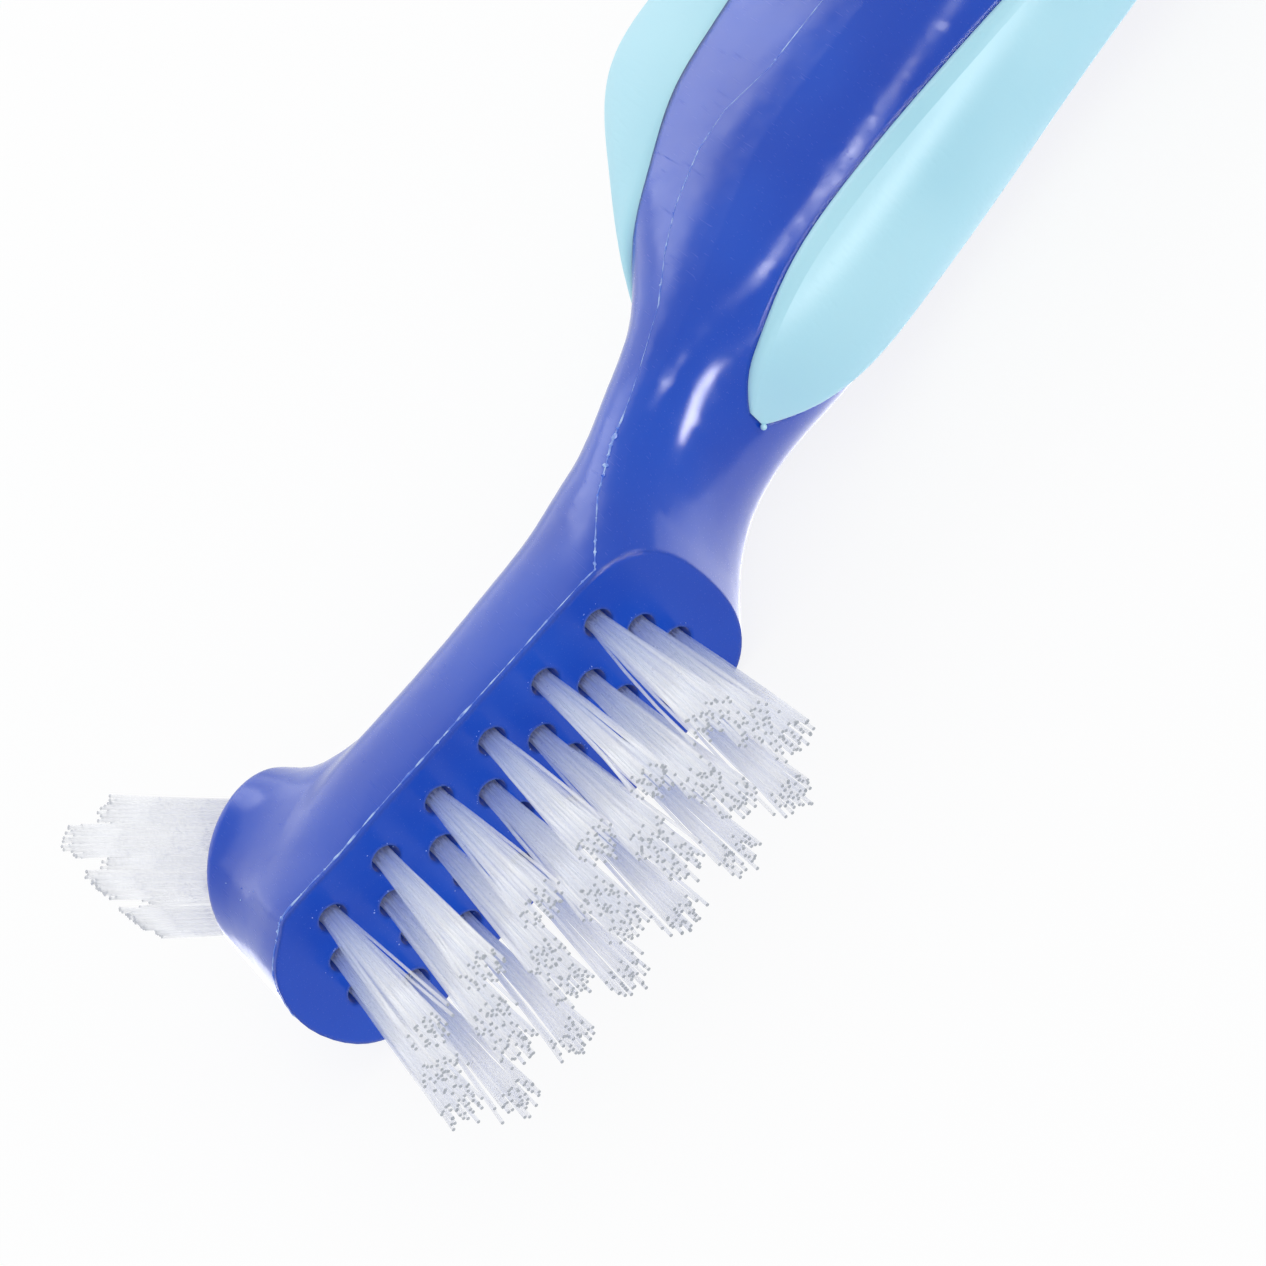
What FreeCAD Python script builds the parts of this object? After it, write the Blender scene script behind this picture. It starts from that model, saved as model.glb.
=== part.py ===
import FreeCAD, Part
import os
from math import acos, cos, pi, radians, sin
from FreeCAD import Vector

# Denture brush, in millimetres. It is modelled with X along the brush towards the head's tip,
# Y out of the bristle face and Z across it. The middle of the bristle face is at the origin
# until the last step, which lays the brush on its side on Z = 0.

# Bristle face: flat, with straight sides and rounded ends
face_length = 41.2
face_width = 16.0
face_tip_round = 6.6
face_heel_round = 6.0

# Head behind the face
head_depth = 10.3
head_tip_depth = 9.3
head_tip_width = 15.0
head_heel_depth = 13.5
head_heel_parting = 5.1
heel_swell = 0.35
head_fullness = 3.5

# Boss on the back of the tip, which carries the pointed tufts
boss_radius = 6.7
boss_waist_radius = 6.3
boss_fillet_reach = 16.0
boss_fillet_start = 0.38
boss_fillet_fall = 3.0
boss_blend_radius = 9.0
boss_waist_share = 0.86
boss_flare_share = 0.7
boss_setback = 6.0
boss_depth = 14.3
boss_lean = 31.0
boss_edge_round = 0.6

# Throat, neck, nape, shoulder, belly, grasp, palm and butt of the handle. Each has its distance
# behind the face's far end, the depths of its front and back edges under the face, and its width.
throat_distance = 2.3
throat_front = 3.3
throat_back = 15.1
throat_width = 14.2
neck_distance = 6.7
neck_front = 6.3
neck_back = 17.9
neck_width = 13.8
nape_distance = 10.6
nape_front = 7.3
nape_back = 20.6
nape_width = 14.6
shoulder_distance = 16.5
shoulder_front = 6.6
shoulder_back = 31.2
shoulder_width = 15.4
belly_distance = 27.0
belly_front = 7.9
belly_back = 43.0
belly_width = 16.0
grasp_distance = 45.0
grasp_front = 11.0
grasp_back = 42.6
grasp_width = 16.0
palm_distance = 88.0
palm_front = 15.5
palm_back = 37.5
palm_width = 16.0
butt_distance = 137.0
butt_front = 15.5
butt_back = 32.0
butt_width = 14.0
butt_round = 5.5
front_fullness = 2.7
back_fullness = 2.3
section_spacing = 4.0

# Soft grips, one along the front edge and one along the back edge of the handle. A wrap is the
# angle, either way from the middle of its edge, that a grip reaches round the handle.
front_grip_wrap = 42.0
front_grip_tail_wrap = 31.0
front_grip_tip_distance = 10.2
front_grip_upper_taper = 10.0
front_grip_lower_taper = 27.0
back_grip_wrap = 77.0
back_grip_tail_wrap = 58.0
back_grip_tip_distance = 9.3
back_grip_taper = 14.0
grip_length = 84.0
grip_waist_start = 14.0
grip_waist_length = 32.5
grip_tail_taper = 5.0
grip_tip_lift = 0.35
grip_proud = 0.5
grip_thickness = 2.6
grip_fullness = 3.3
grip_edge_round = 0.9

# Tuft holes in the face: rows along the brush, from the edge that is up to the edge that is down
outer_row_tufts = 6
inner_row_tufts = 7
outer_row_margin = 7.2
upper_inner_margin = 5.5
lower_inner_margin = 4.5
side_row_margin = 3.2
rows_shift = 0.2
hole_diameter = 2.2
hole_depth = 4.0

# Tufts: bundles of filament, folded round a flat wire anchor that wedges in the hole
tuft_clearance = 0.05
tuft_length = 15.0
tuft_tip_diameter = 3.0
tuft_flutes = 7
tuft_flute_depth = 0.12
tuft_side_lean = 0.07
tuft_end_lean = 0.02

# Pointed tufts on the boss: one in the middle and a ring round it, with their ends trimmed to a
# ridge across the brush
ring_tufts = 8
ring_radius = 4.1
ring_forward = 0.4
boss_tuft_tip_diameter = 2.7
boss_tuft_spread = 0.06
boss_tuft_lean = 0.8
point_length = 15.5
point_forward = 1.6
point_land = 1.7
heel_trim_length = 13.0
tip_trim_length = 10.0
trim_reach = 6.4
trim_stock = 1.0

# Anchors
anchor_thickness = 0.3
anchor_height = 1.6
anchor_bite = 0.2
anchor_seat = 0.5

# Derived places
face_end = -face_length / 2
tip_end = face_length / 2
side_z = face_width / 2
across = Vector(0, 0, 1)
boss_axis = Vector(sin(radians(boss_lean)), -cos(radians(boss_lean)), 0)
boss_along = Vector(cos(radians(boss_lean)), sin(radians(boss_lean)), 0)
boss_centre = Vector(tip_end - boss_setback, -boss_depth, 0)
on_skin = 0.001


def ring_poles(points):
    """Poles of the smooth closed curve that passes through evenly spaced points."""
    poles = list(points)
    for _ in range(40):
        poles = [(points[i] * 6 - poles[i - 1] - poles[(i + 1) % len(poles)]) / 4
                 for i in range(len(poles))]
    return poles


def ring_places(outlines):
    """Parameters for a skin through outlines, in step with the mean distance between them."""
    places = [0.0]
    for before, after in zip(outlines, outlines[1:]):
        steps = [(far - near).Length for near, far in zip(before, after)]
        places.append(places[-1] + sum(steps) / len(steps))
    return places


def through(points, places):
    """Smooth curve that passes through points at given parameters."""
    curve = Part.BSplineCurve()
    curve.interpolate(Points=points, Parameters=places)
    return curve


def sewn(faces):
    """Solid inside faces that meet all round."""
    shell = Part.Shell(faces)
    shell.sewShape()
    return Part.Solid(shell)


def skinned(outlines):
    """Solid with one smooth skin through closed outlines of points, and flat ends."""
    rings = [ring_poles(outline) for outline in outlines]
    count = len(rings[0])
    places = ring_places(outlines)
    lines = [through([ring[column] for ring in rings], places) for column in range(count)]
    surface = Part.BSplineSurface()
    surface.buildFromPolesMultsKnots([line.getPoles() for line in lines], [1] * (count + 1),
                                     lines[0].getMultiplicities(), list(range(count + 1)),
                                     lines[0].getKnots(), True, False, 3, 3)
    skin = surface.toShape()
    rims = [edge for edge in skin.Edges if edge.isClosed()]
    return sewn([skin] + [Part.Face(Part.Wire([rim])) for rim in rims])


def strip(rows, places):
    """Smooth surface through rows of points, one row at each place."""
    steps = [float(step) for step in range(len(rows[0]))]
    crossings = [through(row, steps) for row in rows]
    poles = [curve.getPoles() for curve in crossings]
    lines = [through([row[column] for row in poles], places) for column in range(len(poles[0]))]
    surface = Part.BSplineSurface()
    surface.buildFromPolesMultsKnots([line.getPoles() for line in lines],
                                     crossings[0].getMultiplicities(),
                                     lines[0].getMultiplicities(), crossings[0].getKnots(),
                                     lines[0].getKnots(), False, False, crossings[0].Degree, 3)
    return surface


def section(x, front, parting, back, width, front_fullness, back_fullness):
    """Closed section across the brush, widest at the parting line. A fullness of 2 gives half
    an ellipse, and a higher one fills the corners out."""
    points = []
    steps = 16
    for step in range(steps):
        turn = 2 * pi * step / steps
        fullness = front_fullness if sin(turn) >= 0 else back_fullness
        reach = front - parting if sin(turn) >= 0 else parting - back
        swell = (abs(cos(turn)) ** fullness + abs(sin(turn)) ** fullness) ** (-1 / fullness)
        points.append(Vector(x, parting + reach * swell * sin(turn), width / 2 * swell * cos(turn)))
    return points


def stations():
    """Form of the moulding from its tip to its butt: each row has a place along the brush, the
    levels of the front, the parting line and the back, the width and the two fullnesses. The
    head's fronts stand above the face, which cuts them off flat and leaves its rounded heel
    where they fall through it."""
    crown = side_z
    heel_start = face_end + face_heel_round
    rows = [
        (tip_end - face_tip_round, crown, 0, -head_tip_depth, head_tip_width, 2.0, head_fullness),
        (tip_end - face_tip_round * 2, crown, 0, -head_depth, face_width, 2.0, head_fullness),
        (tip_end - face_length / 2, crown, 0, -head_depth, face_width, 2.0, head_fullness),
        (heel_start, crown, 0, -head_depth - (head_heel_depth - head_depth) * heel_swell,
         face_width, 2.0, head_fullness),
        (face_end + face_heel_round / 6, crown / 6, -head_heel_parting, -head_heel_depth,
         (face_width + throat_width) / 2, 2.0, (head_fullness + back_fullness) / 2),
    ]
    for distance, front, back, width in (
            (throat_distance, throat_front, throat_back, throat_width),
            (neck_distance, neck_front, neck_back, neck_width),
            (nape_distance, nape_front, nape_back, nape_width),
            (shoulder_distance, shoulder_front, shoulder_back, shoulder_width),
            (belly_distance, belly_front, belly_back, belly_width),
            (grasp_distance, grasp_front, grasp_back, grasp_width),
            (palm_distance, palm_front, palm_back, palm_width),
            (butt_distance, butt_front, butt_back, butt_width)):
        rows.append((face_end - distance, -front, -(front + back) / 2, -back, width,
                     front_fullness, back_fullness))
    return rows


def slope(rows, row, column):
    """Rise of a column at a row, level at a peak or a dip so that nothing overshoots."""
    if row in (0, len(rows) - 1):
        return 0
    before, here, after = rows[row - 1], rows[row], rows[row + 1]
    rise_in = (here[column] - before[column]) / (here[0] - before[0])
    rise_out = (after[column] - here[column]) / (after[0] - here[0])
    if rise_in * rise_out <= 0:
        return 0
    return 2 * rise_in * rise_out / (rise_in + rise_out)


def form_at(x):
    """Row of the moulding's form at a place along it, smooth from one station to the next."""
    rows = stations()
    row = 0
    while row < len(rows) - 2 and rows[row + 1][0] > x:
        row += 1
    span = rows[row + 1][0] - rows[row][0]
    share = min((x - rows[row][0]) / span, 1)
    form = [x]
    for column in range(1, len(rows[0])):
        start, end = rows[row][column], rows[row + 1][column]
        start_slope = slope(rows, row, column) * span
        end_slope = slope(rows, row + 1, column) * span
        form.append((1 + 2 * share) * (1 - share) ** 2 * start + share * (1 - share) ** 2 * start_slope
                    + share ** 2 * (3 - 2 * share) * end - share ** 2 * (1 - share) * end_slope)
    return form


def make_spine():
    """Solid of the head and handle, with the head's front standing above the face."""
    straight_end = face_end - butt_distance
    start_x = tip_end - face_tip_round
    count = round((start_x - straight_end) / section_spacing)
    sections = [section(*form_at(start_x + (straight_end - start_x) * step / count))
                for step in range(count + 1)]
    for turn in (30, 60, 90):
        inward = butt_round * (1 - cos(radians(turn)))
        sections.append(section(straight_end - butt_round * sin(radians(turn)),
                                -butt_front - inward, -(butt_front + butt_back) / 2,
                                inward - butt_back, butt_width - 2 * inward,
                                front_fullness, back_fullness))
    return skinned(sections)


def half_round(centre, along, tip_reach, heel_reach, half_width):
    """Closed outline of two half ellipses that meet at its sides."""
    points = []
    steps = 16
    for step in range(steps):
        turn = 2 * pi * step / steps
        reach = tip_reach if cos(turn) >= 0 else heel_reach
        points.append(centre + along * (reach * cos(turn)) + across * (half_width * sin(turn)))
    return points


def make_boss():
    """Flared boss, from the rounded tip of the face to a round rim that leans forward. Its
    outlines lie in planes that turn about the line where the face and the rim's plane meet."""
    lean = radians(boss_lean)
    rim_tip = boss_centre + boss_along * boss_radius
    hinge_x = rim_tip.x - rim_tip.y / sin(lean) * cos(lean)
    tip_gap = hinge_x - tip_end
    heel_gap = (boss_centre - Vector(hinge_x, 0, 0)).Length + boss_radius
    outlines = []
    for share in (-0.1, 0.0, 0.22, 0.4, 0.52, 0.64, 0.76, 0.88, 1.0):
        turn = lean * share
        along = Vector(cos(turn), sin(turn), 0)
        tip_reach = face_tip_round + (boss_radius - face_tip_round) * share
        centre_gap = tip_gap / cos(turn) + tip_reach
        filling = min((1 - share) / (1 - boss_fillet_start), 1) ** boss_fillet_fall
        heel_reach = heel_gap - centre_gap + boss_fillet_reach * filling
        narrowing = sin(pi / 2 * min(max(share, 0) / boss_waist_share, 1)) ** 2
        flare = max(0, (share - boss_flare_share) / (1 - boss_flare_share)) ** 2
        half_width = (side_z - (side_z - boss_waist_radius) * narrowing
                      + (boss_radius - boss_waist_radius) * flare)
        centre = Vector(hinge_x, 0, 0) - along * centre_gap
        outlines.append(half_round(centre, along, tip_reach, heel_reach, half_width))
    boss = skinned(outlines)
    rim = [edge for edge in boss.Edges if (edge.CenterOfMass - boss_centre).Length < boss_edge_round]
    return boss.makeFillet(boss_edge_round, rim)


def make_envelope():
    """The whole moulding before its grip pockets and tuft holes, with the boss blended into the
    head along the line where their skins meet."""
    spine = make_spine()
    boss = make_boss()
    skins = [max(piece.Faces, key=lambda face: face.Area) for piece in (spine, boss)]
    whole = spine.fuse(boss)
    meeting = []
    for edge in whole.Edges:
        middle = Part.Vertex(edge.valueAt((edge.FirstParameter + edge.LastParameter) / 2))
        if max(skin.distToShape(middle)[0] for skin in skins) < on_skin:
            meeting.append(edge)
    whole = whole.makeFillet(boss_blend_radius, meeting)
    above = Part.makeBox(face_length * 2, face_width, face_width * 2,
                         Vector(-face_length, 0, -face_width))
    return whole.cut(above)


def round_the_edge(x, side, turn, offset, fullness):
    """Point on the front (side 1) or back (side -1) of the moulding's section, at an angle off
    its edge, moved out at the edge and in all round where the offset is negative."""
    x, front, parting, back, width, front_full, back_full = form_at(x)
    fullness = fullness or (front_full if side > 0 else back_full)
    reach = (front - parting if side > 0 else parting - back) + offset
    half_width = width / 2 + min(offset, 0)
    swell = (abs(cos(turn)) ** fullness + abs(sin(turn)) ** fullness) ** (-1 / fullness)
    return Vector(x, parting + side * reach * swell * cos(turn), half_width * swell * sin(turn))


def grip_rows(x, side, wrap_up, wrap_down, lift):
    """Points across a pad: its top, a rounded corner, a wall, its floor, a wall and a corner. The
    top and the floor are both curved with the moulding."""
    def turned(share):
        return radians((wrap_up - wrap_down) / 2 + (wrap_up + wrap_down) / 2 * share)

    def top(share):
        off_edge = turned(share)
        level = round_the_edge(x, side, off_edge, 0, None)
        return level + (round_the_edge(x, side, off_edge, grip_proud, grip_fullness) - level) * lift

    def floor(share):
        return round_the_edge(x, side, turned(share), grip_proud - grip_thickness, None)

    def corner(end):
        wall = top(end) + (floor(end) - top(end)).normalize() * rounding
        return [top(end * crown), (top(end * crown) + top(end) * 2 + wall) / 4, wall]

    reach = (top(1) - top(0)).Length
    rounding = min(grip_edge_round, reach / 2)
    crown = 1 - rounding / reach
    right, left = corner(1), corner(-1)
    return [
        [top(crown * share / 3) for share in range(-3, 4)],
        right,
        [right[-1], floor(1)],
        [floor(share / 3) for share in range(3, -4, -1)],
        [floor(-1), left[-1]],
        left[::-1],
    ]


def tip_share(back, taper):
    """Share of a pad's full wrap that its rounded tip has reached at a distance behind it."""
    return sin(acos(max(1 - back / taper, 0)))


def make_grip(side, tip_distance, upper_taper, lower_taper, full_wrap, tail_wrap):
    """Soft pad let into the front or back edge of the handle, with a long rounded tip, a wide
    part, and a narrower tail with a round end."""
    tip_x = face_end - tip_distance
    tip_length = max(upper_taper, lower_taper)
    middle = grip_length - tip_length - grip_tail_taper
    places = [(tip_length * (1 - cos(radians(turn))), 1) for turn in (7, 18, 31, 46, 64, 90)]
    places += [(tip_length + middle * step / 8, 1) for step in range(1, 8)]
    places += [(grip_length - grip_tail_taper * (1 - cos(radians(turn))), sin(radians(turn)))
               for turn in (90, 64, 42, 24, 10)]
    across_it = []
    for back, tail_share in places:
        along = min(max((back - grip_waist_start) / grip_waist_length, 0), 1)
        wrap = full_wrap + (tail_wrap - full_wrap) * (1 - cos(pi * along)) / 2
        up = tip_share(back, upper_taper) * tail_share
        down = tip_share(back, lower_taper) * tail_share
        lift = min(1, grip_tip_lift + (up + down) / 2)
        across_it.append(grip_rows(tip_x - back, side, wrap * up, wrap * down, lift))
    ring = ring_places([sum(rows, []) for rows in across_it])
    strips = [strip(list(rows), ring) for rows in zip(*across_it)]
    ends = [Part.Face(Part.Wire([surface.vIso(place).toShape() for surface in strips]))
            for place in (ring[0], ring[-1])]
    return sewn([surface.toShape() for surface in strips] + ends)


def face_holes():
    """Mouth centres of the tuft holes in the face, row by row."""
    rows = (
        (outer_row_tufts, outer_row_margin),
        (inner_row_tufts, upper_inner_margin),
        (inner_row_tufts, lower_inner_margin),
        (outer_row_tufts, outer_row_margin),
    )
    mouths = []
    row_pitch = (face_width - 2 * side_row_margin) / (len(rows) - 1)
    for row, (count, margin) in enumerate(rows):
        z = row_pitch * ((len(rows) - 1) / 2 - row)
        pitch = (face_length - 2 * margin) / (count - 1)
        for place in range(count):
            x = rows_shift + pitch * (place - (count - 1) / 2)
            mouths.append(Vector(x, 0, z))
    return mouths


def boss_holes():
    """Offsets of the boss's tuft holes from the middle of its rim."""
    middle = boss_along * ring_forward
    offsets = [middle]
    for place in range(ring_tufts):
        turn = 2 * pi * place / ring_tufts
        offsets.append(middle + boss_along * (ring_radius * cos(turn))
                       + across * (ring_radius * sin(turn)))
    return offsets


def bundle_outline(centre, along, radius):
    """Fluted outline of a bundle of filament."""
    points = []
    steps = 2 * tuft_flutes
    for step in range(steps):
        turn = 2 * pi * step / steps
        reach = radius * (1 - tuft_flute_depth * (step % 2))
        points.append(centre + along * (reach * cos(turn)) + across * (reach * sin(turn)))
    return Part.makePolygon(points + points[:1])


def make_tuft(mouth, axis, along, lean, length, tip_diameter):
    """Bundle that fills its hole, stands out of it by a length and flares to its tip."""
    root_radius = hole_diameter / 2 - tuft_clearance
    outlines = [
        bundle_outline(mouth - axis * hole_depth, along, root_radius),
        bundle_outline(mouth, along, root_radius),
        bundle_outline(mouth + axis * length + lean, along, tip_diameter / 2),
    ]
    return Part.makeLoft(outlines, True, True)


def make_anchor(mouth, axis, along):
    """Flat wire that lies across the hole inside the fold of its tuft."""
    width = hole_diameter + 2 * anchor_bite
    corner = (mouth - axis * (hole_depth - anchor_seat) - across * (width / 2)
              - along * (anchor_thickness / 2))
    outline = Part.makePolygon([
        corner,
        corner + across * width,
        corner + across * width + along * anchor_thickness,
        corner + along * anchor_thickness,
        corner,
    ])
    return Part.Face(outline).extrude(axis * anchor_height)


def trim_wedge():
    """Space under the pointed trim of the boss's tufts."""
    ridge_heel = point_forward - point_land / 2
    ridge_tip = point_forward + point_land / 2
    heel_slope = (point_length - heel_trim_length) / (trim_reach + ridge_heel)
    tip_slope = (point_length - tip_trim_length) / (trim_reach - ridge_tip)
    reach = 2 * boss_radius
    foot = -2 * hole_depth
    profile = (
        (-reach, foot),
        (-reach, point_length - heel_slope * (reach + ridge_heel)),
        (ridge_heel, point_length),
        (ridge_tip, point_length),
        (reach, point_length - tip_slope * (reach - ridge_tip)),
        (reach, foot),
    )
    points = [boss_centre + boss_along * place + boss_axis * height - across * face_width
              for place, height in profile]
    return Part.Face(Part.makePolygon(points + points[:1])).extrude(across * face_width * 2)


def bored(solid, mouths, axis):
    """The solid with a blind hole at each mouth."""
    drills = [Part.makeCylinder(hole_diameter / 2, hole_depth * 2, mouth - axis * hole_depth, axis)
              for mouth in mouths]
    return solid.cut(drills)


# Whole moulding, with its grips let in, its holes bored and the anchors pressed in
up = Vector(0, 1, 0)
forward = Vector(1, 0, 0)
front_mouths = face_holes()
boss_mouths = [boss_centre + offset for offset in boss_holes()]
front_anchors = [make_anchor(mouth, up, forward) for mouth in front_mouths]
boss_anchors = [make_anchor(mouth, boss_axis, boss_along) for mouth in boss_mouths]

front_grip = make_grip(1, front_grip_tip_distance, front_grip_upper_taper, front_grip_lower_taper,
                       front_grip_wrap, front_grip_tail_wrap)
back_grip = make_grip(-1, back_grip_tip_distance, back_grip_taper, back_grip_taper,
                      back_grip_wrap, back_grip_tail_wrap)
handle = max(make_envelope().cut([front_grip, back_grip]).Solids, key=lambda piece: piece.Volume)
handle = bored(handle, front_mouths, up)
handle = bored(handle, boss_mouths, boss_axis)
handle = handle.cut(front_anchors + boss_anchors)

parts = {
    "handle_body": handle,
    "front_grip": front_grip,
    "back_grip": back_grip,
}
for number, (mouth, anchor) in enumerate(zip(front_mouths, front_anchors), 1):
    lean = Vector((mouth.x - rows_shift) * tuft_end_lean, 0, mouth.z * tuft_side_lean)
    tuft = make_tuft(mouth, up, forward, lean, tuft_length, tuft_tip_diameter)
    parts["front_tuft_%02d" % number] = tuft.cut(anchor)
wedge = trim_wedge()
for number, (offset, mouth, anchor) in enumerate(zip(boss_holes(), boss_mouths, boss_anchors), 1):
    lean = offset * boss_tuft_spread + boss_along * boss_tuft_lean
    tuft = make_tuft(mouth, boss_axis, boss_along, lean, point_length + trim_stock,
                     boss_tuft_tip_diameter)
    parts["end_tuft_%d" % number] = tuft.common(wedge).cut(anchor)
parts["front_anchors"] = Part.makeCompound(front_anchors)
parts["end_anchors"] = Part.makeCompound(boss_anchors)

# Lay the brush on its side, with the middle of its box over the origin
box = Part.makeCompound(list(parts.values())).optimalBoundingBox(False, False)
shift = Vector(-(box.XMin + box.XMax) / 2, -(box.YMin + box.YMax) / 2, -box.ZMin)

os.makedirs("parts", exist_ok=True)
for name, shape in parts.items():
    shape = shape.copy()
    shape.translate(shift)
    if not shape.isValid() or not shape.Solids:
        print("not valid:", name)
    shape.exportStep("parts/%s.step" % name)
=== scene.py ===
import math
import random

import bmesh
import bpy
from mathutils import Matrix, Vector
from mathutils.bvhtree import BVHTree


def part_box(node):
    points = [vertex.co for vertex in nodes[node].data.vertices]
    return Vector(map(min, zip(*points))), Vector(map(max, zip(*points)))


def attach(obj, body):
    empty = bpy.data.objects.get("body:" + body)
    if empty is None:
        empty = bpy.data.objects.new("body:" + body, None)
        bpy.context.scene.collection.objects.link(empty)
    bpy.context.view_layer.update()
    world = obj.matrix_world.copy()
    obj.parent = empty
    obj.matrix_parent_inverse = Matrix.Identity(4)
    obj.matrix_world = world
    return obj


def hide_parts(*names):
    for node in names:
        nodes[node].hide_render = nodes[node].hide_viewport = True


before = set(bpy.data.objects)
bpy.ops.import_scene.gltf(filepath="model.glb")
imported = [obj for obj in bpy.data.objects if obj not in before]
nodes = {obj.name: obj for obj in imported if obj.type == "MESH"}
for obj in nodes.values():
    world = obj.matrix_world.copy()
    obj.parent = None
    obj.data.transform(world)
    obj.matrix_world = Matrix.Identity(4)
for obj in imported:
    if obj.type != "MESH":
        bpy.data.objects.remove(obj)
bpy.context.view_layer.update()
mm = 0.001


# Camera
# The brush is seen over its head, from 42 degrees above the surface it lies on and square to its
# length, with a long lens and rolled so that the handle runs up and to the right.
handle_low, handle_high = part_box("handle_body")
head_tip_x = handle_high.x
face_y = handle_high.y
middle_z = (handle_low.z + handle_high.z) / 2
camera_height = math.radians(42)
camera_roll = math.radians(48)
camera_distance = 335 * mm
camera_along = -26.37 * mm
camera_drop = 4.52 * mm
aim_behind_tip = 8.5 * mm
aim_above_middle = 8 * mm
lens_length = 141.92
sensor_width = 36


def shown(name, data):
    """Object of a camera, curve, mesh or lamp, put in the scene."""
    made = bpy.data.objects.new(name, data)
    bpy.context.scene.collection.objects.link(made)
    return made


forward = Vector((1, 0, 0))
to_camera = Vector((0, math.cos(camera_height), math.sin(camera_height)))
beside = forward.cross(to_camera)
aim = Vector((head_tip_x - aim_behind_tip, face_y, middle_z + aim_above_middle))
picture_right = -forward * math.cos(camera_roll) - beside * math.sin(camera_roll)
picture_up = -forward * math.sin(camera_roll) + beside * math.cos(camera_roll)
turn = Matrix((picture_right, picture_up, to_camera)).transposed().to_4x4()
place = aim + to_camera * camera_distance + forward * camera_along - beside * camera_drop
camera_data = bpy.data.cameras.new("camera")
camera_data.sensor_width = sensor_width
camera_data.lens = lens_length
camera_data.clip_start = 10 * mm
camera = shown("camera", camera_data)
camera.matrix_world = Matrix.Translation(place) @ turn
bpy.context.scene.camera = camera


# Moulded handle
# Head, neck and handle are one injection moulding in blue polypropylene. The tool was polished,
# so the skin is glossy, with the slight waviness that a thick section gets as it shrinks.
shrink_wave = 9 * mm
scuff_spacing = 1.6 * mm
edge_round = 0.5 * mm
# Handling scratches are about 0.02 mm wide, too fine to show, so they are drawn coarser.
hairline = 0.09 * mm
hairline_stretch = 0.03
hairline_turn = (0.4, 0.9, 0.5)


def linear(hex_colour):
    """Linear colour, with full alpha, of an sRGB hex value."""
    parts = [int(hex_colour[i:i + 2], 16) / 255 for i in (1, 3, 5)]
    return [c / 12.92 if c <= 0.04045 else ((c + 0.055) / 1.055) ** 2.4 for c in parts] + [1]


def material(name):
    """Empty node material."""
    made = bpy.data.materials.new(name)
    made.use_nodes = True
    made.node_tree.nodes.clear()
    return made


def node(owner, kind, settings=None, *feeds, **links):
    """Node of a kind. A setting is a property or an input's value. An output goes to the input of
    its own place, as a feed, or of its keyword's name, as a link."""
    tree = owner.node_tree
    made = tree.nodes.new(kind)
    for name, value in (settings or {}).items():
        if hasattr(made, name):
            setattr(made, name, value)
        else:
            made.inputs[name].default_value = value
    for socket, output in zip(made.inputs, feeds):
        tree.links.new(output, socket)
    for name, output in links.items():
        tree.links.new(output, made.inputs[name.replace("_", " ")])
    return made


# Gloss-moulded polypropylene: a deep, even blue with sharp highlights that waver a little, and with
# light held just under the skin.
blue_plastic = material("blue polypropylene, gloss moulded")
points = node(blue_plastic, "ShaderNodeTexCoord").outputs["Object"]
wave = node(blue_plastic, "ShaderNodeTexNoise", {"Scale": 1 / shrink_wave, "Detail": 1}, Vector=points)
scuff = node(blue_plastic, "ShaderNodeTexNoise", {"Scale": 1 / scuff_spacing, "Detail": 4}, Vector=points)
combed = node(blue_plastic, "ShaderNodeMapping",
              {"Rotation": hairline_turn, "Scale": (1, hairline_stretch, 1)}, Vector=points)
scratches = node(blue_plastic, "ShaderNodeTexNoise", {"Scale": 1 / hairline, "Detail": 0},
                 Vector=combed.outputs["Vector"])
scratched = node(blue_plastic, "ShaderNodeMapRange", {"From Min": 0.74, "From Max": 0.82, "To Max": 0.25},
                 Value=scratches.outputs["Fac"])
shine = node(blue_plastic, "ShaderNodeMapRange",
             {"From Min": 0.35, "From Max": 0.75, "To Min": 0.13, "To Max": 0.24},
             Value=scuff.outputs["Fac"])
worn = node(blue_plastic, "ShaderNodeMath", {"operation": "ADD"},
            shine.outputs["Result"], scratched.outputs["Result"])
tint = node(blue_plastic, "ShaderNodeValToRGB", Fac=wave.outputs["Fac"])
tint.color_ramp.elements[0].position = 0.3
tint.color_ramp.elements[0].color = linear("#003FB4")
tint.color_ramp.elements[1].position = 0.7
tint.color_ramp.elements[1].color = linear("#0349BF")
rounded = node(blue_plastic, "ShaderNodeBevel", {"samples": 4, "Radius": edge_round})
ripple = node(blue_plastic, "ShaderNodeBump", {"Strength": 0.14, "Distance": 0.2 * mm},
              Height=wave.outputs["Fac"], Normal=rounded.outputs["Normal"])
skin = node(blue_plastic, "ShaderNodeBsdfPrincipled", {
    "IOR": 1.49,
    "Specular IOR Level": 0.38,
    "Sheen Weight": 0.3,
    "Sheen Roughness": 0.35,
    "Subsurface Weight": 0.12,
    "Subsurface Radius": (0.3, 0.5, 1.0),
    "Subsurface Scale": 1.5 * mm,
}, Base_Color=tint.outputs["Color"], Roughness=worn.outputs["Value"], Normal=ripple.outputs["Normal"])
node(blue_plastic, "ShaderNodeOutputMaterial", Surface=skin.outputs["BSDF"])
nodes["handle_body"].material_slots[0].material = blue_plastic


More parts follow.
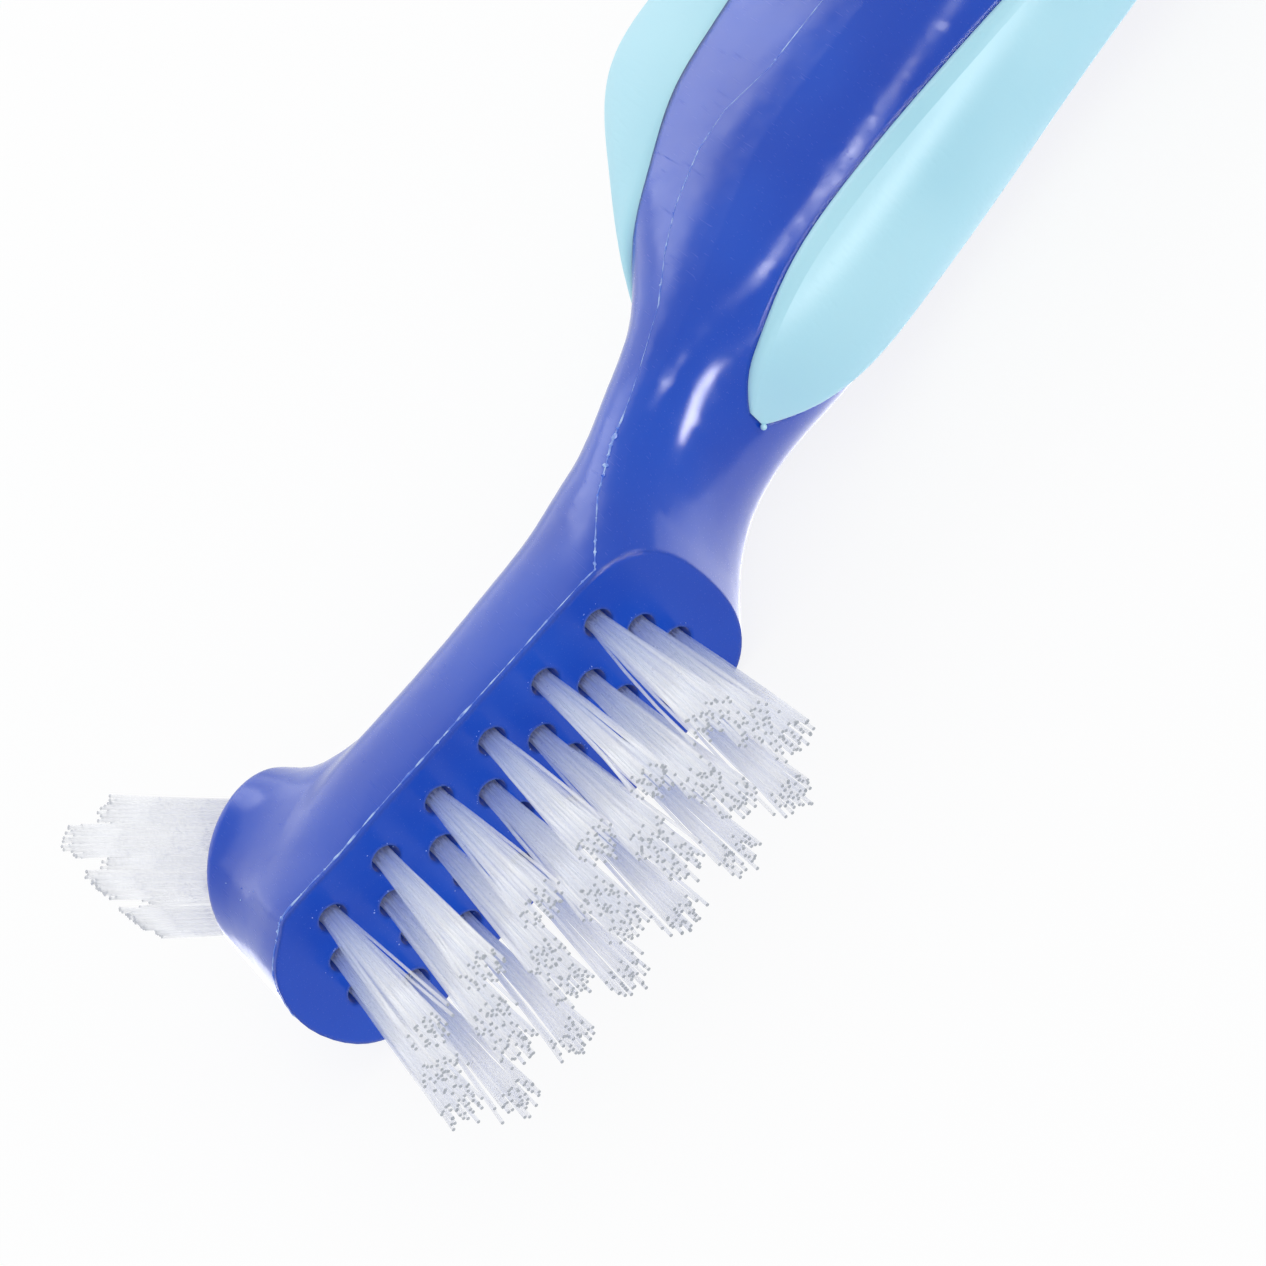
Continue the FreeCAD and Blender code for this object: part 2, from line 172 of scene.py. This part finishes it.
# Parting line
# The two halves of the tool meet just under the edge of the flat face and, from its heel on, along
# both sides of the handle. They leave a thin torn flash of the same plastic, stretched pale.
flash_radius = 0.07 * mm
flash_step = 0.6 * mm
flash_drop = 0.45 * mm
flash_tear = 0.8 * mm
thin_flash = (0.35, 1.1)
thick_flash = (1.1, 1.7)
thin_share = 0.85
neat_from = 46 * mm
neat_share = 0.6
line_heel = 36.6 * mm
line_heel_drop = 0.85 * mm
# Millimetres from the head's tip, and the line's share of the handle's depth there.
line_middle = ((40.2, 0.578), (43.4, 0.525), (48.8, 0.533), (53, 0.462), (56.4, 0.475), (59.2, 0.496),
               (63.3, 0.541), (66.6, 0.564), (71, 0.604), (178, 0.604))
station_spacing = 6
slice_width = 0.8 * mm
butt_turn = line_middle[-1][0] * mm
butt_steps = 30
hole_rim = 1.6 * mm
face_middle = 20 * mm
shortest_edge = 0.15 * mm
clear_of_side = 40 * mm
clear_of_rim = 5 * mm
tears = random.Random(7)

outward = Vector((0, 1, 0))
across = Vector((0, 0, 1))
handle_mesh = nodes["handle_body"].data
handle_points = [vertex.co.copy() for vertex in handle_mesh.vertices]
handle_skin = BVHTree.FromPolygons(handle_points, [list(face.vertices) for face in handle_mesh.polygons])


def on_side(x, y, side):
    """Point on the upper (side 1) or lower (side -1) skin of the handle."""
    start = Vector((x, y, middle_z + side * clear_of_side))
    return handle_skin.ray_cast(start, across * -side)[0]


def line_depth(x, share):
    """Y of the parting line at a share of the handle's depth there."""
    depths = [point.y for point in handle_points if abs(point.x - x) < slice_width]
    return min(depths) + share * (max(depths) - min(depths))


stations = [(head_tip_x - line_heel, face_y - line_heel_drop)]
for (near, near_share), (far, far_share) in zip(line_middle, line_middle[1:]):
    count = max(1, round((far - near) / station_spacing))
    for step in range(count):
        x = head_tip_x - (near + (far - near) * step / count) * mm
        stations.append((x, line_depth(x, near_share + (far_share - near_share) * step / count)))
butt_x = head_tip_x - butt_turn
butt_y = line_depth(butt_x, line_middle[-1][1])
stations.append((butt_x, butt_y))


def line_along(side):
    """Parting line from the heel of the face to the butt, on one side of the handle."""
    route = []
    for (x, y), (next_x, next_y) in zip(stations, stations[1:]):
        count = max(1, round((x - next_x) / flash_step))
        for step in range(count):
            part = step / count
            route.append(on_side(x + (next_x - x) * part, y + (next_y - y) * part, side))
    return route


face_tufts = sorted(name for name in nodes if name.startswith("front_tuft"))
face_roots = [sum((Vector(corner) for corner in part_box(name)), Vector()) / 2 for name in face_tufts]
rim = []
for point in handle_points:
    if abs(point.y - face_y) < 0.01 * mm:
        near_hole = any((point - root).cross(outward).length < hole_rim for root in face_roots)
        if not near_hole and point.x > head_tip_x - line_heel:
            rim.append(point)
face_centre = Vector((head_tip_x - face_middle, face_y, middle_z))
rim.sort(key=lambda point: -math.atan2(point.z - middle_z, point.x - face_centre.x))
face_line = []
for point, after in zip(rim, rim[1:]):
    edge = after - point
    if edge.length > shortest_edge:
        count = max(1, round(edge.length / flash_step))
        for step in range(count):
            rim_point = point.lerp(after, step / count)
            away = edge.cross(outward).normalized()
            if away.dot(rim_point - face_centre) < 0:
                away = -away
            start = rim_point + away * clear_of_rim - outward * flash_drop
            face_line.append(handle_skin.ray_cast(start, -away)[0])

butt_line = []
for step in range(1, butt_steps):
    angle = math.pi * step / butt_steps
    ray = Vector((-math.sin(angle), 0, -math.cos(angle)))
    butt_line.append(handle_skin.ray_cast(Vector((butt_x, butt_y, middle_z)), ray)[0])
flash_line = list(reversed(line_along(1))) + face_line + line_along(-1) + butt_line
flash_line = [spot for spot in flash_line if spot]

curve = bpy.data.curves.new("parting_flash", "CURVE")
curve.dimensions = "3D"
curve.bevel_depth = flash_radius
curve.bevel_resolution = 1
spline = curve.splines.new("POLY")
spline.points.add(len(flash_line) - 1)
for point, spot in zip(spline.points, flash_line):
    point.co = spot.to_4d()
    fade = 1 if head_tip_x - spot.x < neat_from else neat_share
    point.radius = fade * tears.uniform(*(thin_flash if tears.random() < thin_share else thick_flash))
spline.use_cyclic_u = True

# Torn polypropylene: the blue is drawn thin and goes pale and dull in patches.
torn_plastic = material("blue polypropylene, torn flash")
points = node(torn_plastic, "ShaderNodeTexCoord").outputs["Object"]
tear = node(torn_plastic, "ShaderNodeTexNoise", {"Scale": 1 / flash_tear}, Vector=points)
tint = node(torn_plastic, "ShaderNodeValToRGB", Fac=tear.outputs["Fac"])
tint.color_ramp.elements[0].position = 0.4
tint.color_ramp.elements[0].color = linear("#3E6BD6")
tint.color_ramp.elements[1].position = 0.62
tint.color_ramp.elements[1].color = linear("#A9C6F2")
skin = node(torn_plastic, "ShaderNodeBsdfPrincipled", {"IOR": 1.49, "Roughness": 0.4},
            Base_Color=tint.outputs["Color"])
node(torn_plastic, "ShaderNodeOutputMaterial", Surface=skin.outputs["BSDF"])
curve.materials.append(torn_plastic)
flash = shown("parting_flash", curve)
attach(flash, "root")


# Moulding crumbs
# Specks of torn plastic cling along the parting line, round the drilled tuft holes and on the flank
# of the boss. They are bits of the flash, so they have its material.
line_crumb_share = 0.16
# Millimetres from the head's tip, number of crumbs, and their size in millimetres.
crumb_clusters = ((43.4, 8, 0.2), (41.8, 6, 0.15), (36.6, 6, 0.15), (4.5, 8, 0.14), (21, 3, 0.11))
hole_crumbs = 5
# Millimetres from the head's tip, and Y in millimetres.
boss_crumbs = ((3.3, 4.5), (4.5, 8.6), (3.3, 7.0), (5.5, 12.2), (4.2, 7.9), (3.9, 6.6))
crumbs = bmesh.new()


def shape(name, mesh, *finishes):
    """Object of a bmesh, with its materials."""
    data = bpy.data.meshes.new(name)
    mesh.to_mesh(data)
    mesh.free()
    for finish in finishes:
        data.materials.append(finish)
    return shown(name, data)


def add_crumb(spot, size):
    """One ragged speck of plastic, half sunk in the skin."""
    turn = Matrix.Rotation(tears.uniform(0, 6.28), 4, (tears.random(), tears.random(), 1))
    stretch = Matrix.Diagonal((tears.uniform(0.6, 1.6), tears.uniform(0.6, 1.2), tears.uniform(0.4, 0.9), 1))
    bmesh.ops.create_icosphere(crumbs, subdivisions=1, radius=size,
                               matrix=Matrix.Translation(spot) @ turn @ stretch)


for spot in flash_line:
    if tears.random() < line_crumb_share:
        add_crumb(spot, tears.uniform(0.05, 0.11) * mm)
for x, count, size in crumb_clusters:
    close = sorted(flash_line, key=lambda spot: abs(head_tip_x - spot.x - x * mm) - spot.z)
    for spot in close[:count]:
        add_crumb(spot, tears.uniform(0.6, 1.2) * size * mm)
for root in face_roots:
    for step in range(hole_crumbs):
        angle = tears.gauss(math.pi / 2, 1.1)
        away = tears.uniform(1.12, 1.3) * mm
        spot = Vector((root.x + away * math.cos(angle), face_y, root.z + away * math.sin(angle)))
        add_crumb(spot, tears.uniform(0.03, 0.06) * mm)
for x, y in boss_crumbs:
    add_crumb(on_side(head_tip_x - x * mm, y * mm, 1), tears.uniform(0.05, 0.08) * mm)
for vertex in crumbs.verts:
    vertex.co.z = min(max(vertex.co.z, handle_low.z), handle_high.z)
speckle = shape("moulding_crumbs", crumbs, torn_plastic)
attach(speckle, "root")


# Soft grips
# Two pads in light blue thermoplastic rubber, moulded into pockets in the front and back edges of
# the handle. The gate that fed the front one has left a small bead at its tip.
cloud_spacing = 12 * mm
pore_spacing = 7 * mm
# The satin's real grain is a few hundredths of a millimetre, too fine to show, so it is coarser here.
grain = 0.25 * mm
bead_radius = 0.24 * mm
bead_offset = Vector((0.05, 0.05, -0.35)) * mm

# Satin-moulded rubber: soft, wide highlights, a faint glow, and here and there a pore.
soft_rubber = material("light blue thermoplastic rubber, satin moulded")
points = node(soft_rubber, "ShaderNodeTexCoord").outputs["Object"]
pebble = node(soft_rubber, "ShaderNodeTexNoise", {"Scale": 1 / grain, "Detail": 2}, Vector=points)
cloud = node(soft_rubber, "ShaderNodeTexNoise", {"Scale": 1 / cloud_spacing, "Detail": 1}, Vector=points)
tint = node(soft_rubber, "ShaderNodeValToRGB", Fac=cloud.outputs["Fac"])
tint.color_ramp.elements[0].position = 0.3
tint.color_ramp.elements[0].color = linear("#A6D8E8")
tint.color_ramp.elements[1].position = 0.7
tint.color_ramp.elements[1].color = linear("#B0DFED")
pores = node(soft_rubber, "ShaderNodeTexVoronoi", {"Scale": 1 / pore_spacing}, Vector=points)
pore = node(soft_rubber, "ShaderNodeMapRange", {"From Min": 0.02, "From Max": 0.045},
            Value=pores.outputs["Distance"])
dents = node(soft_rubber, "ShaderNodeBump", {"Strength": 0.8, "Distance": 0.08 * mm},
             Height=pore.outputs["Result"])
pits = node(soft_rubber, "ShaderNodeBump", {"Strength": 0.15, "Distance": 0.02 * mm},
            Height=pebble.outputs["Fac"], Normal=dents.outputs["Normal"])
shine = node(soft_rubber, "ShaderNodeMapRange", {"To Min": 0.42, "To Max": 0.52},
             Value=cloud.outputs["Fac"])
skin = node(soft_rubber, "ShaderNodeBsdfPrincipled", {
    "IOR": 1.5,
    "Specular IOR Level": 0.35,
    "Subsurface Weight": 0.2,
    "Subsurface Radius": (0.7, 1.0, 1.0),
    "Subsurface Scale": 1.2 * mm,
}, Base_Color=tint.outputs["Color"], Roughness=shine.outputs["Result"], Normal=pits.outputs["Normal"])
node(soft_rubber, "ShaderNodeOutputMaterial", Surface=skin.outputs["BSDF"])
for name in ("front_grip", "back_grip"):
    nodes[name].material_slots[0].material = soft_rubber

grip_tip = max((vertex.co for vertex in nodes["front_grip"].data.vertices), key=lambda co: co.x)
bead = bmesh.new()
bmesh.ops.create_icosphere(bead, subdivisions=3, radius=bead_radius,
                           matrix=Matrix.Translation(grip_tip + bead_offset))
for face in bead.faces:
    face.smooth = True
gate = shape("grip_gate_bead", bead, soft_rubber)
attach(gate, "root")


# Anchors
# Each tuft is held by a piece of flat brass wire, cropped and driven into its hole across the fold of
# the filament. Deep in the hole, it is only a dull yellow glint between the filaments.
wire_line = 0.05 * mm
wire_stretch = 0.05
brass = material("brass flat wire, drawn")
points = node(brass, "ShaderNodeTexCoord").outputs["Object"]
drawn = node(brass, "ShaderNodeMapping", {"Scale": (1, 1, wire_stretch)}, Vector=points)
lines = node(brass, "ShaderNodeTexNoise", {"Scale": 1 / wire_line}, Vector=drawn.outputs["Vector"])
shine = node(brass, "ShaderNodeMapRange", {"To Min": 0.25, "To Max": 0.4}, Value=lines.outputs["Fac"])
skin = node(brass, "ShaderNodeBsdfPrincipled", {"Base Color": linear("#C9A24B"), "Metallic": 1},
            Roughness=shine.outputs["Result"])
node(brass, "ShaderNodeOutputMaterial", Surface=skin.outputs["BSDF"])
for name in ("front_anchors", "end_anchors"):
    nodes[name].material_slots[0].material = brass


# Front tufts
# Each hole of the flat face holds a bundle of clear nylon filament, folded in half over its anchor.
# The ends were trimmed level after tufting, and the cut leaves them rough; their grey is painted shade.
filament_diameter = 0.24 * mm
filament_sides = 6
bundle_filaments = 38
bundle_radius = 0.84 * mm
bundle_sag = 0.12 * mm
root_depth = 1.8 * mm
bow_steps = (0.15, 0.33, 0.66)
turn_scatter = 0.2
cut_swell = 1.2
front_flare = 1.75 * mm
front_flare_range = (0.7, 1.15)
front_bow = 0.12 * mm
stray_along = 0.13 * mm
stray_across = 0.12 * mm
trim_scatter = 0.5 * mm
# Share of painted blue light at the front tufts' roots, and how far from the root it fades.
front_painted_blue = 0.7
painted_blue_reach = 9.5 * mm
streak_spacing = 0.6 * mm
cut_tear = 0.08 * mm
strays = random.Random(11)

# Extruded nylon: clear and smooth, so a bundle looks white. Near its root the filament is painted blue, a
# painted reflection of the plastic round it, and each filament has a random painted shade.
nylon = material("clear nylon filament, extruded")
points = node(nylon, "ShaderNodeTexCoord").outputs["Object"]
streak = node(nylon, "ShaderNodeTexNoise", {"Scale": 1 / streak_spacing}, Vector=points)
haze = node(nylon, "ShaderNodeMapRange", {"To Min": 0.22, "To Max": 0.4}, Value=streak.outputs["Fac"])
# Painted light: the filaments are tinted blue near their roots for the light reflected from the handle.
painted_blue_share = node(nylon, "ShaderNodeAttribute", {"attribute_name": "painted_blue_light"})
tint = node(nylon, "ShaderNodeValToRGB", Fac=painted_blue_share.outputs["Fac"])
tint.color_ramp.elements[0].color = linear("#FAFBFE")
tint.color_ramp.elements[1].color = linear("#7C98EA")
tint.color_ramp.elements.new(0.5).color = linear("#CAD5F3")
skin = node(nylon, "ShaderNodeBsdfPrincipled", {"IOR": 1.53, "Alpha": 0.4},
            Base_Color=tint.outputs["Color"], Roughness=haze.outputs["Result"])
node(nylon, "ShaderNodeOutputMaterial", Surface=skin.outputs["BSDF"])

# Cut nylon: the knife leaves the end rough, and its dull grey dot is painted shade for the little light that
# comes back out of the cut.
cut_nylon = material("clear nylon filament, cut end")
points = node(cut_nylon, "ShaderNodeTexCoord").outputs["Object"]
torn = node(cut_nylon, "ShaderNodeTexNoise", {"Scale": 1 / cut_tear}, Vector=points)
tint = node(cut_nylon, "ShaderNodeValToRGB", Fac=torn.outputs["Fac"])
tint.color_ramp.elements[0].color = linear("#7A828A")
tint.color_ramp.elements[1].color = linear("#B4B9C0")
skin = node(cut_nylon, "ShaderNodeBsdfPrincipled", {"IOR": 1.53, "Roughness": 0.6, "Alpha": 0.8},
            Base_Color=tint.outputs["Color"])
node(cut_nylon, "ShaderNodeOutputMaterial", Surface=skin.outputs["BSDF"])


def bundle_places():
    """Share of the radius and turn of each filament in a bundle: a spiral that fills it evenly."""
    golden = math.pi * (3 - math.sqrt(5))
    return [(math.sqrt((i + 0.5) / bundle_filaments), i * golden) for i in range(bundle_filaments)]


def end_centre(name, axis, last):
    """Middle of a tuft solid's first or last end along its axis."""
    found = [vertex.co for vertex in nodes[name].data.vertices]
    edge = max(found, key=lambda co: co.dot(axis) * (1 if last else -1)).dot(axis)
    ring = [co for co in found if abs(co.dot(axis) - edge) < 0.05 * mm]
    return sum(ring, Vector()) / len(ring)


def empty_tuft():
    """Mesh for a tuft's filaments, with a layer for the painted blue light at their roots."""
    mesh = bmesh.new()
    mesh.verts.layers.float.new("painted_blue_light")
    return mesh


def add_filament(mesh, start, end, bow, axis, painted_blue_share):
    """One filament from inside its hole to its cut end, tinted with painted blue light near its root and a
    random painted shade.
    """
    path = [start - axis * root_depth, start]
    path += [start.lerp(end, step) + bow * math.sin(math.pi * step) for step in bow_steps]
    path.append(end)
    painted_blue_light = mesh.verts.layers.float["painted_blue_light"]
    # Painted shade: each filament gets a random bluer, darker tint in place of the shade its neighbours
    # would cast.
    painted_filament_shade = strays.uniform(0, 0.04 + 0.2 * painted_blue_share)
    facing = across.rotation_difference(axis).to_matrix().to_4x4()
    disc = bmesh.ops.create_circle(mesh, cap_ends=True, segments=filament_sides,
                                   radius=filament_diameter / 2,
                                   matrix=Matrix.Translation(path[0]) @ facing)
    face = disc["verts"][0].link_faces[0]
    if face.normal.dot(axis) < 0:
        bmesh.ops.reverse_faces(mesh, faces=[face])
    for here, there in zip(path, path[1:]):
        grown = bmesh.ops.extrude_face_region(mesh, geom=[face])["geom"]
        face = [item for item in grown if isinstance(item, bmesh.types.BMFace)][0]
        bmesh.ops.translate(mesh, vec=there - here, verts=list(face.verts))
        for vertex in face.verts:
            vertex[painted_blue_light] = painted_filament_shade + painted_blue_share * max(0, 1 - (there - start).length / painted_blue_reach)
    face.material_index = 1
    bmesh.ops.scale(mesh, vec=(cut_swell, cut_swell, cut_swell), space=Matrix.Translation(-end),
                    verts=list(face.verts))


def finish_tuft(name, mesh):
    """Object of a tuft's filaments, in place of its solid."""
    bmesh.ops.recalc_face_normals(mesh, faces=mesh.faces)
    for face in mesh.faces:
        face.smooth = face.material_index == 0
    tuft = shape(name.replace("tuft", "filaments"), mesh, nylon, cut_nylon)
    tuft.visible_shadow = False
    tuft.visible_diffuse = False
    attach(tuft, "root")
    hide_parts(name)


bundle_reach = bundle_radius - filament_diameter / 2
for name in face_tufts:
    root = end_centre(name, outward, False)
    tip = end_centre(name, outward, True)
    root.y = face_y
    root.z -= bundle_sag
    mesh = empty_tuft()
    for share, turned in bundle_places():
        turned += strays.uniform(-turn_scatter, turn_scatter)
        side = forward * math.cos(turned) + across * math.sin(turned)
        start = root + side * (bundle_reach * share)
        end = tip + side * (share * front_flare * strays.uniform(*front_flare_range))
        end += forward * strays.gauss(0, stray_along) + across * strays.gauss(0, stray_across)
        end -= outward * (strays.random() ** 2 * trim_scatter)
        add_filament(mesh, start, end, side * strays.gauss(0, front_bow), outward, front_painted_blue)
    finish_tuft(name, mesh)


# End tufts
# The cluster on the boss has longer filament of the same kind, trimmed to a point that reaches
# into the narrow places of a denture.
boss_lean = math.radians(31)
hole_depth = 4 * mm
ring_forward = 0.4 * mm
point_length = 15.5 * mm
point_forward = 1.6 * mm
point_land = 1.7 * mm
heel_trim_length = 13 * mm
tip_trim_length = 10 * mm
trim_reach = 6.4 * mm
end_spread = 0.06
end_lean = 0.8 * mm
end_flare = 1.35 * mm
end_flare_range = (0.75, 1.1)
end_bow = 0.15 * mm
end_scatter = 0.9 * mm

boss_out = Vector((math.sin(boss_lean), -math.cos(boss_lean), 0))
boss_along = Vector((math.cos(boss_lean), math.sin(boss_lean), 0))
end_tufts = sorted(name for name in nodes if name.startswith("end_tuft"))
mouths = {name: end_centre(name, boss_out, False) + boss_out * hole_depth for name in end_tufts}
boss_centre = sum(mouths.values(), Vector()) / len(mouths) - boss_along * ring_forward
ridge_heel = point_forward - point_land / 2
ridge_tip = point_forward + point_land / 2
heel_slope = (point_length - heel_trim_length) / (trim_reach + ridge_heel)
tip_slope = (point_length - tip_trim_length) / (trim_reach - ridge_tip)
for name in end_tufts:
    root = mouths[name]
    mesh = empty_tuft()
    for share, turned in bundle_places():
        turned += strays.uniform(-turn_scatter, turn_scatter)
        side = boss_along * math.cos(turned) + across * math.sin(turned)
        start = root + side * (bundle_reach * share)
        leaning = (root - boss_centre) * end_spread + boss_along * end_lean
        leaning += side * (share * end_flare * strays.uniform(*end_flare_range))
        tip_place = (root + leaning - boss_centre).dot(boss_along)
        fall = heel_slope * max(0, ridge_heel - tip_place) + tip_slope * max(0, tip_place - ridge_tip)
        length = point_length - fall - strays.random() ** 2 * end_scatter
        end = root + leaning * (length / point_length) + boss_out * length
        add_filament(mesh, start, end, side * strays.gauss(0, end_bow), boss_out, 0)
    finish_tuft(name, mesh)


# Floor and light
# A white paper sweep under a bright white sky. Softboxes in front and behind lift the blue. The cards
# and strips light nothing and only show in the gloss: pale flanks, a pale under-edge, and hard
# highlights on the neck.
floor_reach = 3
paper_glow = 0.85
sky_light = 0.88
sky_seen = 1.0
lamp_centre = Vector((30, 0, 0)) * mm
# Name, direction, long side, distance, width, height, radiance, lights the object, shows in gloss.
lamps = (
    ("softbox behind", (0, -0.93, 0.38), (1, 0, 0), 0.8, 1.1, 0.66, 0.9, True, True),
    ("card behind the handle", (-0.09, -0.8, 0.59), (1, 0, 0), 0.16, 0.06, 0.05, 2.6, False, True),
    ("softbox in front", (-0.15, 0.92, 0.35), (1, 0, 0), 0.8, 1.0, 0.5, 0.65, True, False),
    ("strip beside the neck", (-0.46, 0.85, 0.28), (0.82, 0.05, 0.54), 0.5, 0.48, 0.13, 26, False, True),
    ("strip overhead", (-0.22, 0.04, 0.97), (0, 1, 0), 0.5, 0.08, 0.03, 20, False, True),
    ("strip on the floor", (0, 0, -1), (1, 0, 0), -0.0005, 0.25, 0.026, 1.45, False, True),
)


def background_rays(owner):
    """1 where a ray shows the background: straight to the camera, in gloss or through what is clear."""
    rays = node(owner, "ShaderNodeLightPath").outputs
    direct = node(owner, "ShaderNodeMath", {"operation": "MAXIMUM"},
                  rays["Is Camera Ray"], rays["Is Glossy Ray"])
    seen = node(owner, "ShaderNodeMath", {"operation": "MAXIMUM"},
                direct.outputs["Value"], rays["Is Transmission Ray"])
    return seen.outputs["Value"]


# Matt paper: white, with only the object's own soft shadow on it.
paper = material("white paper sweep")
fibres = node(paper, "ShaderNodeBsdfDiffuse", {"Color": linear("#F5F6F7")})
white = node(paper, "ShaderNodeEmission", {"Strength": 1.0})
share = node(paper, "ShaderNodeMapRange", {"To Max": paper_glow}, Value=background_rays(paper))
mixed = node(paper, "ShaderNodeMixShader", None,
             share.outputs["Result"], fibres.outputs["BSDF"], white.outputs["Emission"])
node(paper, "ShaderNodeOutputMaterial", Surface=mixed.outputs["Shader"])
sheet = bmesh.new()
bmesh.ops.create_grid(sheet, x_segments=1, y_segments=1, size=floor_reach)
floor = shape("floor", sheet, paper)

world = bpy.data.worlds.new("studio sky")
bpy.context.scene.world = world
world.use_nodes = True
sky = world.node_tree.nodes["Background"]
sky.inputs["Color"].default_value = linear("#FFFFFF")
bright = node(world, "ShaderNodeMapRange", {"To Min": sky_light, "To Max": sky_seen},
              Value=background_rays(world))
world.node_tree.links.new(bright.outputs["Result"], sky.inputs["Strength"])

for name, direction, along_it, distance, width, height, radiance, lights, shows in lamps:
    facing = Vector(direction).normalized()
    long_side = (Vector(along_it) - facing * facing.dot(Vector(along_it))).normalized()
    turn = Matrix((long_side, facing.cross(long_side), facing)).transposed().to_4x4()
    lamp = bpy.data.lights.new(name, "AREA")
    lamp.shape = "RECTANGLE"
    lamp.size = width
    lamp.size_y = height
    lamp.energy = radiance * math.pi * width * height
    box = shown(name, lamp)
    box.visible_camera = False
    box.visible_diffuse = lights
    box.visible_glossy = shows
    box.matrix_world = Matrix.Translation(lamp_centre + facing * distance) @ turn
bpy.context.scene.view_settings.view_transform = "Standard"
